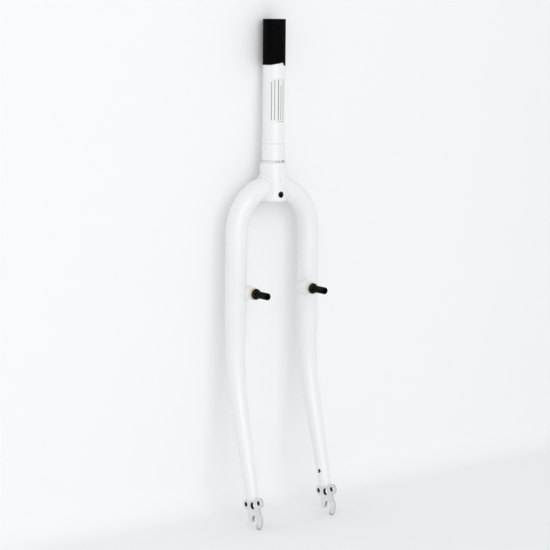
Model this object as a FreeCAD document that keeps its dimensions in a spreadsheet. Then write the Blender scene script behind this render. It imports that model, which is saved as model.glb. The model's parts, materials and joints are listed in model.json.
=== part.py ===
"""Rigid mountain bike fork of the unicrown kind, for a 26-inch wheel.

A steel steerer with a thick crown end carries two bent and tapered blades. Each blade is mitred
and welded to the crown, holds a stamped fork tip in its slotted lower end and has a brake boss
with a turned post on its front.

Frame: millimetres, Z up along the steerer, the origin on its axis at the crown race shoulder.
The front of the bike is -Y, and X runs along the wheel axle. Left and right are the rider's, so
left is on +X. The left side is drawn, and the right side is its mirror image.
"""
import FreeCAD
import Part
import math
import os
import Sketcher

DOCUMENT = FreeCAD.newDocument("mountain_bike_fork")

# Driving dimensions: name, value in millimetres or degrees, meaning.
SIZES = [
    ("steerer_length", 160.0, "race shoulder to the top of the steerer"),
    ("steerer_diameter", 25.4, "outside of the steerer"),
    ("steerer_wall", 1.6, "wall of the steerer, whose bore takes the stem"),
    ("thread_length", 51.0, "threaded length at the top"),
    ("thread_diameter", 25.0, "outside of the thread"),
    ("thread_runout", 0.2, "slope from the thread to the plain steerer, along the axis"),
    ("thread_chamfer", 0.8, "lead-in at the top edge"),
    ("guard_wall", 0.3, "wall of the thread guard"),
    ("guard_clearance", 0.05, "gap between thread and guard"),
    ("race_seat_diameter", 26.4, "press seat of the crown race"),
    ("race_seat_height", 21.0, "shoulder to the top of the seat"),
    ("race_seat_lead", 0.5, "slope at the top of the seat, along the axis"),
    ("undercut_width", 1.8, "relief groove at the foot of the seat, along the axis"),
    ("undercut_depth", 0.7, "relief groove, below the seat"),
    ("shoulder_diameter", 28.6, "outside of the shoulder"),
    ("crown_flare", 6.0, "length of the cone from the shoulder to the crown"),
    ("crown_cover", 3.1, "crown end beyond each side of a blade"),
    ("crown_lip", 2.0, "crown end below the blades"),
    ("crown_edge", 1.2, "bevel at the lower end of the crown"),
    ("crown_hole", 7.0, "cross hole for a brake or mudguard bolt"),
    ("crown_hole_rise", 8.0, "lower end of the crown to the cross hole"),
    ("blade_diameter", 24.8, "outside of the blade above its taper"),
    ("blade_wall", 1.6, "wall of the blade"),
    ("blade_spread", 100.7, "between the blade axes below the crown bend"),
    ("joint_drop", 22.6, "shoulder to where the blade axes meet the steerer axis"),
    ("bend_radius", 52.0, "crown bend, at the axis"),
    ("bend_angle", 68.0, "turn of the crown bend"),
    ("straight_length", 87.0, "parallel blade below the crown bend"),
    ("taper_lead", 35.4, "tapered blade above the rake bend"),
    ("rake_radius", 304.0, "rake bend, at the axis"),
    ("rake_angle", 15.5, "turn of the rake bend"),
    ("tip_run", 97.0, "straight blade below the rake bend"),
    ("blade_tip_diameter", 14.5, "outside of the blade at its lower end"),
    ("dome_height", 5.0, "closed dome at the lower end of the blade"),
    ("vent_hole", 4.8, "vent hole in the blade"),
    ("vent_rise", 4.0, "top of the fork tip's tongue to the vent hole"),
    ("vent_turn", 12.0, "turn of the vent hole from the inner side to the front"),
    ("hub_spacing", 100.0, "between the inner faces of the fork tips"),
    ("tip_thickness", 4.2, "plate of the fork tip"),
    ("tip_edge", 0.4, "bevel along the outline of the fork tip"),
    ("tip_corner", 1.5, "rounding where the outline of the fork tip turns"),
    ("tongue_clearance", 0.15, "gap between the tongue of the fork tip and the bore of the blade"),
    ("tongue_length", 12.0, "depth of the tongue in the blade"),
    ("eyelet_spread", 24.8, "between the two eyelets of a fork tip"),
    ("eyelet_drop", 6.9, "lower end of the blade to the eyelets"),
    ("eyelet_hole", 5.2, "hole for a mudguard or rack screw"),
    ("eyelet_rim", 2.9, "plate round the eyelet's hole"),
    ("washer_hole", 7.6, "hole for the tab of a retaining washer"),
    ("washer_hole_drop", 9.2, "lower end of the blade to the washer hole"),
    ("axle_drop", 25.0, "lower end of the blade to the axle"),
    ("axle_slot", 9.2, "slot for the wheel axle"),
    ("axle_rim", 7.4, "plate beside the axle slot"),
    ("neck_width", 20.0, "fork tip between the eyelets and the axle"),
    ("rear_prong", 4.4, "rear prong below the axle"),
    ("post_inset", 10.15, "blade axis to the brake post, inwards"),
    ("post_drop", 67.5, "crown bend to the brake post"),
    ("boss_reach", 11.0, "front of the blade to the front of the boss"),
    ("boss_length", 22.4, "front to back of the boss"),
    ("boss_flare", 13.0, "front of the boss to its widest ring"),
    ("boss_back_diameter", 12.5, "back of the boss"),
    ("boss_diameter", 17.0, "widest ring of the boss"),
    ("boss_face_diameter", 13.0, "front of the boss"),
    ("spigot_diameter", 7.6, "end of the post in the boss"),
    ("spigot_length", 9.0, "depth of the post in the boss"),
    ("spigot_clearance", 0.05, "gap between the post and the bore of the boss"),
    ("collar_diameter", 12.0, "collar of the post"),
    ("collar_length", 2.8, "collar of the post along its axis"),
    ("collar_edge", 0.6, "bevel of the collar"),
    ("stud_diameter", 8.0, "pivot stud for the brake arm"),
    ("stud_length", 20.8, "pivot stud in front of the collar"),
    ("stud_edge", 0.5, "bevel at the end of the stud"),
    ("bolt_bore", 5.0, "tapping hole for the brake bolt"),
    ("bolt_depth", 17.0, "depth of the tapping hole"),
    ("weld_radius", 2.4, "round of the weld bead along the seam of crown and blade"),
]

# Angles of full and quarter turns, in degrees, and the least turn that makes a corner.
FULL_TURN = 360
QUARTER_TURN = 90
CORNER_TURN = 5
# A point within this distance of a surface lies on it, and an edge is tested at this many points.
TOUCH = 0.001
EDGE_SPOTS = 5

# Lengths and angles that follow from the driving dimensions.
STEERER_BORE = "(Sizes.steerer_diameter - 2 * Sizes.steerer_wall)"
CROWN_RADIUS = "(Sizes.blade_diameter / 2 + Sizes.crown_cover)"
CROWN_LENGTH = (f"(Sizes.joint_drop + {CROWN_RADIUS} / tan(Sizes.bend_angle)"
                " + Sizes.blade_diameter / 2 / sin(Sizes.bend_angle) + Sizes.crown_lip)")
BEND_REACH = "Sizes.bend_radius * (1 - cos(Sizes.bend_angle))"
INNER_RUN = f"((Sizes.blade_spread / 2 - {BEND_REACH}) / sin(Sizes.bend_angle))"
BEND_DROP = ("(Sizes.joint_drop + Sizes.bend_radius * sin(Sizes.bend_angle)"
             f" + {INNER_RUN} * cos(Sizes.bend_angle))")
RAKE_START = "(Sizes.straight_length + Sizes.taper_lead)"
RAKE_DEPTH = "Sizes.rake_radius * sin(Sizes.rake_angle)"
RAKE_REACH = "Sizes.rake_radius * (1 - cos(Sizes.rake_angle))"
BLADE_DEPTH = f"({RAKE_START} + {RAKE_DEPTH} + Sizes.tip_run * cos(Sizes.rake_angle))"
BLADE_REACH = f"({RAKE_REACH} + Sizes.tip_run * sin(Sizes.rake_angle))"
TIP_PLANE = "(Sizes.hub_spacing + Sizes.tip_thickness) / 2"
SPLAY = f"asin(({TIP_PLANE} - Sizes.blade_spread / 2) / {BLADE_DEPTH})"
TONGUE = "(Sizes.blade_tip_diameter / 2 - Sizes.blade_wall - Sizes.tongue_clearance)"
EYELET_DIAMETER = "(Sizes.eyelet_hole + 2 * Sizes.eyelet_rim)"
AXLE_SEAT = "(Sizes.axle_slot + 2 * Sizes.axle_rim)"
BOSS_FACE = "(Sizes.blade_diameter / 2 + Sizes.boss_reach)"
SPIGOT_END = f"{BOSS_FACE} - Sizes.spigot_length"
POST_FACE = f"({BOSS_FACE} + Sizes.collar_length)"
POST_END = f"({POST_FACE} + Sizes.stud_length)"


def make_sheet():
    """Writes the driving dimensions into a sheet, one aliased cell each."""
    sheet = DOCUMENT.addObject("Spreadsheet::Sheet", "Sizes")
    for row, (name, value, meaning) in enumerate(SIZES, start=1):
        sheet.set(f"A{row}", meaning)
        sheet.set(f"B{row}", str(value))
        sheet.setAlias(f"B{row}", name)
    DOCUMENT.recompute()
    return sheet


SHEET = make_sheet()


def measure(expression):
    """The value of an expression of the driving dimensions."""
    return float(SHEET.evalExpression(expression))


def half(name):
    """Half of a driving dimension, as an expression."""
    return f"Sizes.{name} / 2"


def make_body(name):
    """A new body, which becomes one solid."""
    return DOCUMENT.addObject("PartDesign::Body", name)


def make_sketch(body, name, plane, offset=None):
    """A sketch on one of the body's origin planes, moved by a placement expression if given."""
    sketch = body.newObject("Sketcher::SketchObject", name)
    support = next(item for item in body.Origin.OriginFeatures if item.Role == plane)
    sketch.AttachmentSupport = [(support, "")]
    sketch.MapMode = "FlatFace"
    if offset:
        sketch.setExpression("AttachmentOffset", offset)
    return sketch


def bind(sketch, kind, references, expression):
    """Adds a dimension to a sketch and ties it to an expression."""
    index = sketch.addConstraint(Sketcher.Constraint(kind, *references, measure(expression)))
    sketch.setExpression(f"Constraints[{index}]", expression)


def bind_point(sketch, geometry, point, across, along):
    """Ties both coordinates of a point of a sketch to expressions."""
    bind(sketch, "DistanceX", (-1, 1, geometry, point), across)
    bind(sketch, "DistanceY", (-1, 1, geometry, point), along)


def draw_polygon(sketch, corners):
    """Draws a closed outline through corners, each a pair of expressions."""
    places = [FreeCAD.Vector(measure(across), measure(along), 0) for across, along in corners]
    for start, end in zip(places, places[1:] + places[:1]):
        sketch.addGeometry(Part.LineSegment(start, end))
    for index, (across, along) in enumerate(corners):
        following = (index + 1) % len(corners)
        sketch.addConstraint(Sketcher.Constraint("Coincident", index, 2, following, 1))
        bind_point(sketch, index, 1, across, along)


def draw_circle(sketch, across, along, diameter):
    """Draws a circle with its centre and diameter tied to expressions."""
    centre = FreeCAD.Vector(measure(across), measure(along), 0)
    circle = Part.Circle(centre, FreeCAD.Vector(0, 0, 1), measure(diameter) / 2)
    index = sketch.addGeometry(circle)
    bind(sketch, "Diameter", (index,), diameter)
    bind_point(sketch, index, 3, across, along)


def draw_holes(sketch, holes):
    """Draws circles, each given by its centre and its diameter."""
    for across, along, diameter in holes:
        draw_circle(sketch, across, along, diameter)


def draw_slot(sketch, first, last, width):
    """Draws a slot outline: two half circles about a pair of points, joined by straight sides."""
    start, end = [FreeCAD.Vector(measure(across), measure(along), 0) for across, along in (first, last)]
    radius = measure(width) / 2
    heading = (end - start).normalize()
    side = FreeCAD.Vector(-heading.y, heading.x, 0) * radius
    slope = math.atan2(side.y, side.x)
    upright = FreeCAD.Vector(0, 0, 1)
    start_round = Part.ArcOfCircle(Part.Circle(start, upright, radius), slope, slope + math.pi)
    end_round = Part.ArcOfCircle(Part.Circle(end, upright, radius), slope - math.pi, slope)
    back = sketch.addGeometry(start_round)
    lower = sketch.addGeometry(Part.LineSegment(start - side, end - side))
    front = sketch.addGeometry(end_round)
    upper = sketch.addGeometry(Part.LineSegment(end + side, start + side))
    for one, other in ((back, lower), (lower, front), (front, upper), (upper, back)):
        sketch.addConstraint(Sketcher.Constraint("Tangent", one, 2, other, 1))
    sketch.addConstraint(Sketcher.Constraint("Equal", back, front))
    bind(sketch, "Diameter", (back,), width)
    bind_point(sketch, back, 3, *first)
    bind_point(sketch, front, 3, *last)


def draw_bend(sketch, start, corner, radius, turn, run, toward):
    """Draws a straight run, a tangent arc and a second run, as the axis of a bent tube.

    Args:
        sketch: the sketch, whose vertical axis is the first run.
        start: height of the first run's free end.
        corner: height where the arc begins.
        radius: radius of the arc, which turns towards negative X.
        turn: angle of the arc in degrees.
        run: length of the second run.
        toward: 1 for an axis that climbs, -1 for one that falls.
    """
    foot = FreeCAD.Vector(0, measure(start), 0)
    knee = FreeCAD.Vector(0, measure(corner), 0)
    size = measure(radius)
    angle = math.radians(measure(turn))
    centre = knee - FreeCAD.Vector(size, 0, 0)
    circle = Part.Circle(centre, FreeCAD.Vector(0, 0, 1), size)
    limits = (0, angle) if toward > 0 else (-angle, 0)
    near, far = (1, 2) if toward > 0 else (2, 1)
    leave = centre + FreeCAD.Vector(math.cos(angle), toward * math.sin(angle), 0) * size
    heading = FreeCAD.Vector(-math.sin(angle), toward * math.cos(angle), 0)
    first = sketch.addGeometry(Part.LineSegment(foot, knee))
    arc = sketch.addGeometry(Part.ArcOfCircle(circle, *limits))
    second = sketch.addGeometry(Part.LineSegment(leave, leave + heading * measure(run)))
    sketch.addConstraint(Sketcher.Constraint("Tangent", first, 2, arc, near))
    sketch.addConstraint(Sketcher.Constraint("Tangent", arc, far, second, 1))
    sketch.addConstraint(Sketcher.Constraint("PointOnObject", first, 1, -2))
    sketch.addConstraint(Sketcher.Constraint("Vertical", first))
    bind(sketch, "DistanceY", (-1, 1, first, 1), start)
    bind(sketch, "DistanceY", (first, 1, first, 2), f"{corner} - ({start})")
    bind(sketch, "Radius", (arc,), radius)
    bind(sketch, "Distance", (second, 1, second, 2), run)
    bind(sketch, "DistanceX", (second, 1, arc, 3), f"-{radius} * cos({turn})")


def add_feature(body, kind, name, sketch, **settings):
    """Adds a feature made from a sketch to a body."""
    feature = body.newObject(f"PartDesign::{kind}", name)
    feature.Profile = sketch
    for key, value in settings.items():
        setattr(feature, key, value)
    return feature


def spin(body, corners):
    """Turns a closed outline of radius and height about the body's Z axis."""
    sketch = make_sketch(body, f"{body.Name}_outline", "XZ_Plane")
    draw_polygon(sketch, corners)
    add_feature(body, "Revolution", f"{body.Name}_turned", sketch,
                ReferenceAxis=(sketch, ["V_Axis"]), Angle=FULL_TURN)


def make_steerer():
    """The steerer: thread end, race seat, shoulder, crown end and cross hole, in one piece."""
    body = make_body("steerer_tube")
    bore = f"{STEERER_BORE} / 2"
    top = "Sizes.steerer_length"
    thread_end = f"{top} - Sizes.thread_length"
    seat_top = "Sizes.race_seat_height"
    groove = f"{half('race_seat_diameter')} - Sizes.undercut_depth"
    spin(body, [
        (bore, top),
        (f"{half('thread_diameter')} - Sizes.thread_chamfer", top),
        (half("thread_diameter"), f"{top} - Sizes.thread_chamfer"),
        (half("thread_diameter"), thread_end),
        (half("steerer_diameter"), f"{thread_end} - Sizes.thread_runout"),
        (half("steerer_diameter"), seat_top),
        (half("race_seat_diameter"), f"{seat_top} - Sizes.race_seat_lead"),
        (half("race_seat_diameter"), "Sizes.undercut_width"),
        (groove, "Sizes.undercut_width"),
        (groove, "0"),
        (half("shoulder_diameter"), "0"),
        (CROWN_RADIUS, "-Sizes.crown_flare"),
        (CROWN_RADIUS, f"Sizes.crown_edge - {CROWN_LENGTH}"),
        (f"{CROWN_RADIUS} - Sizes.crown_edge", f"-{CROWN_LENGTH}"),
        (bore, f"-{CROWN_LENGTH}"),
    ])
    drill = make_sketch(body, "crown_hole_outline", "XZ_Plane")
    draw_circle(drill, "0", f"Sizes.crown_hole_rise - {CROWN_LENGTH}", "Sizes.crown_hole")
    add_feature(body, "Pocket", "crown_hole", drill, Type="ThroughAll", SideType="Symmetric")
    return body


def make_guard():
    """The thin sleeve over the thread."""
    body = make_body("thread_guard")
    ring = make_sketch(body, "guard_ring", "XY_Plane")
    bore = "(Sizes.thread_diameter + 2 * Sizes.guard_clearance)"
    draw_circle(ring, "0", "0", bore)
    draw_circle(ring, "0", "0", f"{bore} + 2 * Sizes.guard_wall")
    sleeve = add_feature(body, "Pad", "guard_sleeve", ring)
    sleeve.setExpression("Length", "Sizes.thread_length")
    body.setExpression("Placement.Base.z", "Sizes.steerer_length - Sizes.thread_length")
    return body


def make_frames():
    """Frames of the left blade below its crown bend, of its lower end and of its brake post."""
    places = {
        "blade_frame": f"vector({half('blade_spread')}; 0; -{BEND_DROP});"
                       f" rotation(vector(0; 1; 0); -{SPLAY})",
        "tip_frame": f"vector({TIP_PLANE}; -{BLADE_REACH}; -{BEND_DROP} - {BLADE_DEPTH} * cos({SPLAY}));"
                     " rotation(vector(1; 0; 0); -Sizes.rake_angle)",
        "post_frame": f"vector({half('blade_spread')} - Sizes.post_inset; 0; -{BEND_DROP} - Sizes.post_drop);"
                      f" rotation(vector(1; 0; 0); {QUARTER_TURN})",
    }
    for name, place in places.items():
        frame = DOCUMENT.addObject("App::Placement", name)
        frame.setExpression("Placement", f"placement({place})")


def make_blade_form(name, wall, domed):
    """A solid bent and tapered rod along the blade's axis, smaller than the blade by a wall.

    Args:
        name: name of the body.
        wall: expression of the wall, 0 for the outside of the blade.
        domed: whether the lower end is closed by a dome.
    """
    body = make_body(name)
    upper = f"(Sizes.blade_diameter - 2 * {wall})"
    lower = f"(Sizes.blade_tip_diameter - 2 * {wall})"
    neck = make_sketch(body, f"{name}_neck", "XY_Plane",
                       "placement(vector(0; 0; -Sizes.straight_length); rotation(0; 0; 0))")
    draw_circle(neck, "0", "0", upper)
    end_place = (f"placement(vector(0; -{BLADE_REACH}; -{BLADE_DEPTH});"
                 " rotation(vector(1; 0; 0); -Sizes.rake_angle))")
    end = make_sketch(body, f"{name}_end", "XY_Plane", end_place)
    draw_circle(end, "0", "0", lower)
    crown_axis = make_sketch(body, f"{name}_crown_axis", "XZ_Plane")
    draw_bend(crown_axis, "-Sizes.straight_length", "0", "Sizes.bend_radius", "Sizes.bend_angle",
              INNER_RUN, 1)
    rake_axis = make_sketch(body, f"{name}_rake_axis", "YZ_Plane")
    draw_bend(rake_axis, "-Sizes.straight_length", f"-{RAKE_START}", "Sizes.rake_radius",
              "Sizes.rake_angle", "Sizes.tip_run", -1)
    DOCUMENT.recompute()
    add_feature(body, "AdditivePipe", f"{name}_crown_pipe", neck, Spine=(crown_axis, []))
    add_feature(body, "AdditivePipe", f"{name}_rake_pipe", neck, Spine=(rake_axis, []),
                Transformation="Multisection", Sections=[(end, [""])])
    if domed:
        dome = body.newObject("PartDesign::AdditiveEllipsoid", f"{name}_dome")
        dome.AttachmentSupport = end.AttachmentSupport
        dome.MapMode = "FlatFace"
        dome.setExpression("AttachmentOffset", end_place)
        dome.setExpression("Radius1", "Sizes.dome_height")
        dome.setExpression("Radius2", f"{lower} / 2")
        dome.Angle1 = -QUARTER_TURN
        dome.Angle2 = 0
    body.setExpression("Placement", "blade_frame.Placement")
    return body


def add_plate(body, name, draw, *arguments):
    """Adds a flat piece of the fork tip's thickness, in the plane of the fork tip."""
    sketch = make_sketch(body, f"{name}_outline", "YZ_Plane")
    draw(sketch, *arguments)
    plate = add_feature(body, "Pad", name, sketch, SideType="Symmetric")
    plate.setExpression("Length", "Sizes.tip_thickness")
    return plate


def cut_plate(body, name, draw, *arguments):
    """Cuts an outline right through the fork tip."""
    sketch = make_sketch(body, f"{name}_outline", "YZ_Plane")
    draw(sketch, *arguments)
    return add_feature(body, "Pocket", name, sketch, Type="ThroughAll", SideType="Symmetric")


def edge_normals(shape, edge):
    """The outward normals of the faces that meet at an edge, at the edge's middle."""
    middle = edge.valueAt((edge.FirstParameter + edge.LastParameter) / 2)
    faces = shape.ancestorsOfType(edge, Part.Face)
    return [face.normalAt(*face.Surface.parameter(middle)) for face in faces]


def is_corner(shape, edge):
    """Whether an edge runs through the plate where its outline turns."""
    if not isinstance(edge.Curve, Part.Line) or abs(edge.Curve.Direction.x) < 1 - TOUCH:
        return False
    normals = edge_normals(shape, edge)
    return normals[0].getAngle(normals[-1]) > math.radians(CORNER_TURN)


def is_rim(shape, edge):
    """Whether an edge bounds one of the two flat sides of the plate."""
    return any(abs(normal.x) > 1 - TOUCH for normal in edge_normals(shape, edge))


def add_finish(body, kind, base, choose, size, expression):
    """Rounds or bevels the edges of a feature that a test chooses."""
    DOCUMENT.recompute()
    edges = enumerate(base.Shape.Edges, start=1)
    names = [f"Edge{index}" for index, edge in edges if choose(base.Shape, edge)]
    finish = body.newObject(f"PartDesign::{kind}", f"{base.Name}_{kind.lower()}")
    finish.Base = (base, names)
    finish.setExpression(size, expression)
    return finish


def from_axle(behind, below):
    """A point of the fork tip's plane from its distances behind and below the axle, upright."""
    return (f"{behind} * cos(Sizes.rake_angle) + {below} * sin(Sizes.rake_angle)",
            f"{behind} * sin(Sizes.rake_angle) - {below} * cos(Sizes.rake_angle) - Sizes.axle_drop")


def make_fork_tip(name, pierced):
    """The stamped fork tip: tongue, eyelets, neck and the round end about the axle.

    Args:
        name: name of the body.
        pierced: whether it has its holes, axle slot, short rear prong and bevelled outline.
    """
    body = make_body(name)
    ear = half("eyelet_spread")
    ear_level = "-Sizes.eyelet_drop"
    axle_level = "-Sizes.axle_drop"
    neck = half("neck_width")
    add_plate(body, f"{name}_tongue", draw_polygon, [
        (TONGUE, "Sizes.tongue_length"), (f"-{TONGUE}", "Sizes.tongue_length"),
        (f"-{TONGUE}", ear_level), (TONGUE, ear_level)])
    add_plate(body, f"{name}_ears", draw_slot, (f"-{ear}", ear_level), (ear, ear_level), EYELET_DIAMETER)
    add_plate(body, f"{name}_neck", draw_polygon, [
        (neck, ear_level), (f"-{neck}", ear_level),
        (f"-{neck}", axle_level), (f"{AXLE_SEAT} / 2", axle_level)])
    outline = add_plate(body, f"{name}_seat", draw_circle, "0", axle_level, AXLE_SEAT)
    if pierced:
        below_prong = f"(Sizes.rear_prong + {AXLE_SEAT})"
        cut_plate(body, f"{name}_axle_slot", draw_slot, from_axle("0", "0"), from_axle("0", AXLE_SEAT),
                  "Sizes.axle_slot")
        outline = cut_plate(body, f"{name}_rear_cut", draw_polygon, [
            from_axle("0", "Sizes.rear_prong"), from_axle(AXLE_SEAT, "Sizes.rear_prong"),
            from_axle(AXLE_SEAT, below_prong), from_axle("0", below_prong)])
    add_finish(body, "Fillet", outline, is_corner, "Radius", "Sizes.tip_corner")
    if pierced:
        holes = cut_plate(body, f"{name}_holes", draw_holes, [
            (f"-{ear}", ear_level, "Sizes.eyelet_hole"), (ear, ear_level, "Sizes.eyelet_hole"),
            ("0", "-Sizes.washer_hole_drop", "Sizes.washer_hole")])
        add_finish(body, "Chamfer", holes, is_rim, "Size", "Sizes.tip_edge")
    body.setExpression("Placement", "tip_frame.Placement")
    return body


def make_boss_form():
    """The flared boss before it is fitted to the blade, bored for the post."""
    body = make_body("boss_form")
    bore = f"{half('spigot_diameter')} + Sizes.spigot_clearance"
    back = f"{BOSS_FACE} - Sizes.boss_length"
    spin(body, [
        ("0", back),
        (half("boss_back_diameter"), back),
        (half("boss_diameter"), f"{BOSS_FACE} - Sizes.boss_flare"),
        (half("boss_face_diameter"), BOSS_FACE),
        (bore, BOSS_FACE),
        (bore, SPIGOT_END),
        ("0", SPIGOT_END),
    ])
    body.setExpression("Placement", "post_frame.Placement")
    return body


def make_brake_post():
    """The turned post: spigot in the boss, collar and pivot stud, bored for the brake bolt."""
    body = make_body("left_brake_post")
    bore_end = f"{POST_END} - Sizes.bolt_depth"
    spin(body, [
        ("0", SPIGOT_END),
        (half("spigot_diameter"), SPIGOT_END),
        (half("spigot_diameter"), BOSS_FACE),
        (half("collar_diameter"), BOSS_FACE),
        (half("collar_diameter"), f"{POST_FACE} - Sizes.collar_edge"),
        (f"{half('collar_diameter')} - Sizes.collar_edge", POST_FACE),
        (half("stud_diameter"), POST_FACE),
        (half("stud_diameter"), f"{POST_END} - Sizes.stud_edge"),
        (f"{half('stud_diameter')} - Sizes.stud_edge", POST_END),
        (half("bolt_bore"), POST_END),
        (half("bolt_bore"), bore_end),
        ("0", bore_end),
    ])
    body.setExpression("Placement", "post_frame.Placement")
    return body


def cut_from(name, base, tools):
    """Cuts tools from a base one after another, the last result under the given name."""
    for index, tool in enumerate(tools, start=1):
        last = index == len(tools)
        step = DOCUMENT.addObject("Part::Cut", name if last else f"{name}_step_{index}")
        step.Base = base
        step.Tool = tool
        base = step
    return base


def make_blade(form):
    """The blade: hollow, mitred to the crown, vented and slotted for the fork tip."""
    bore = make_blade_form("blade_bore", "Sizes.blade_wall", False)
    crown = DOCUMENT.addObject("Part::Cylinder", "crown_envelope")
    crown.setExpression("Radius", CROWN_RADIUS)
    crown.setExpression("Height", BEND_DROP)
    crown.setExpression("Placement.Base.z", f"-{BEND_DROP}")
    vent = DOCUMENT.addObject("Part::Cylinder", "vent_drill")
    vent.setExpression("Radius", half("vent_hole"))
    vent.setExpression("Height", "Sizes.blade_diameter")
    vent.setExpression("Placement", (
        "tip_frame.Placement * placement(vector(0; 0; Sizes.tongue_length + Sizes.vent_rise);"
        " rotation(vector(0; 0; 1); Sizes.vent_turn))"
        f" * placement(vector(0; 0; 0); rotation(vector(0; 1; 0); -{QUARTER_TURN}))"))
    blank = make_fork_tip("tip_blank", False)
    return cut_from("left_blade", form, [bore, crown, vent, blank])


def make_crown_weld(form):
    """The weld bead round the blade where it meets the crown, level with the crown's end."""
    radius = measure(CROWN_RADIUS)
    shoulder = FreeCAD.Vector(0, 0, 0)
    down = FreeCAD.Vector(0, 0, -1)
    crown = Part.makeCylinder(radius, measure(BEND_DROP), shoulder, down)
    seam = []
    for edge in crown.fuse(form.Shape).Edges:
        if edge.Degenerated or isinstance(edge.Curve, (Part.Circle, Part.Line)):
            continue
        if all(abs(math.hypot(spot.x, spot.y) - radius) < TOUCH for spot in edge.discretize(EDGE_SPOTS)):
            seam.append(edge)
    ring = Part.Wire(Part.__sortEdges__(seam))
    first = ring.Edges[0]
    start = first.valueAt(first.FirstParameter)
    heading = first.tangentAt(first.FirstParameter)
    section = Part.Wire(Part.Circle(start, heading, measure("Sizes.weld_radius")).toShape())
    bead = ring.makePipeShell([section], True, True).cut([crown], TOUCH).cut([form.Shape], TOUCH)
    level = Part.makeCylinder(measure("Sizes.blade_spread"), measure(CROWN_LENGTH), shoulder, down)
    weld = DOCUMENT.addObject("Part::Feature", "left_crown_weld")
    weld.Shape = bead.common(level)
    return weld


def mirror(name, source):
    """The right side's copy of a left piece."""
    twin = DOCUMENT.addObject("Part::Mirroring", name)
    twin.Source = source
    twin.Normal = FreeCAD.Vector(1, 0, 0)
    return twin


def check_document():
    """Stops if an object failed, or if a cut took nothing away."""
    for item in DOCUMENT.Objects:
        if "Invalid" in item.State or "Error" in item.State:
            raise RuntimeError(f"{item.Name} failed: {item.State}")
        base = None
        if item.isDerivedFrom("PartDesign::Pocket"):
            base = item.BaseFeature
        elif item.isDerivedFrom("Part::Cut"):
            base = item.Base
        if base and item.Shape.Volume >= base.Shape.Volume:
            raise RuntimeError(f"{item.Name} cut nothing")


def check_pieces(pieces):
    """Stops if a piece is not one valid solid."""
    for piece in pieces:
        if piece.Shape.isNull() or not piece.Shape.isValid() or len(piece.Shape.Solids) != 1:
            raise RuntimeError(f"{piece.Label} is not one valid solid")


def main():
    """Builds the fork and writes each piece to its own file."""
    pieces = [make_steerer(), make_guard()]
    make_frames()
    form = make_blade_form("blade_form", "0", True)
    boss = cut_from("left_brake_boss", make_boss_form(), [form])
    left_side = [make_blade(form), make_fork_tip("left_fork_tip", True), boss, make_brake_post()]
    DOCUMENT.recompute()
    left_side.append(make_crown_weld(form))
    for piece in left_side:
        pieces += [piece, mirror(piece.Name.replace("left", "right"), piece)]
    DOCUMENT.recompute()
    check_document()
    check_pieces(pieces)
    os.makedirs("parts", exist_ok=True)
    for piece in pieces:
        piece.Shape.exportStep(f"parts/{piece.Label}.step")


main()
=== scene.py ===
"""Studio scene of a rigid mountain bike fork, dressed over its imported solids.

The frame is the part's own: metres, Z up along the steerer, the origin at the crown race shoulder
and the front of the bike towards -Y. Left and right are the rider's, so left is on +X.
"""
import json
import logging
import math
from dataclasses import dataclass
from enum import Enum
from typing import Callable, Sequence

import bpy
from mathutils import Matrix, Vector


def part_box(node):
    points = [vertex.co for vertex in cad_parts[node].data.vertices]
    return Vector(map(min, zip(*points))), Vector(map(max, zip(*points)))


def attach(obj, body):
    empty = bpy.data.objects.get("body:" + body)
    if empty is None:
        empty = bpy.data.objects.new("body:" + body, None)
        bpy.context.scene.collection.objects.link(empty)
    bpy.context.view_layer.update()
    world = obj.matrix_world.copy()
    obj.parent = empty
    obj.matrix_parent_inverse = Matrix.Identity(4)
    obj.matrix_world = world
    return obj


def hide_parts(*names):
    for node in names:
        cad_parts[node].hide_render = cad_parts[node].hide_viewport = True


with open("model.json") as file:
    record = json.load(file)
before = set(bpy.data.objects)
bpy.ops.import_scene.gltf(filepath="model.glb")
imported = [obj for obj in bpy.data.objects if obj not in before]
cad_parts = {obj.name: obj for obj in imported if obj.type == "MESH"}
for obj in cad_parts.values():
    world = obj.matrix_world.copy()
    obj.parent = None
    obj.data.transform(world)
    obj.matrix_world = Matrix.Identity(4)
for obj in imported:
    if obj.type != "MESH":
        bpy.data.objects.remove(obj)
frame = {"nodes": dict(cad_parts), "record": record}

LOG = logging.getLogger("mountain_bike_fork")
BODY = "root"
MILLIMETRE = 0.001
# Angle about the steerer, from +X, of the side that the camera sees, in degrees.
SHOWN_TURN = -126.44
# Edges that turn by more than this stay sharp, in degrees.
SHARP_TURN = 40.0

Colour = tuple[float, float, float, float]
Point = tuple[float, float, float]
Span = tuple[float, float]
Knots = tuple[Span, ...]
Faces = list[tuple[int, ...]]
Node = bpy.types.Node
Socket = bpy.types.NodeSocket
Outputs = bpy.types.NodeOutputs
Tree = bpy.types.NodeTree
Material = bpy.types.Material
Piece = bpy.types.Object


class Side(Enum):
    """The rider's side of a piece."""

    LEFT = "left"
    RIGHT = "right"

    @property
    def mirror(self) -> int:
        """The sign of X on this side."""
        return 1 if self is Side.LEFT else -1


class Slot(Enum):
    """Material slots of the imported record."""

    PAINT = "white_paint"
    BLACK = "black_steel"
    GUARD = "guard_plastic"


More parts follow.
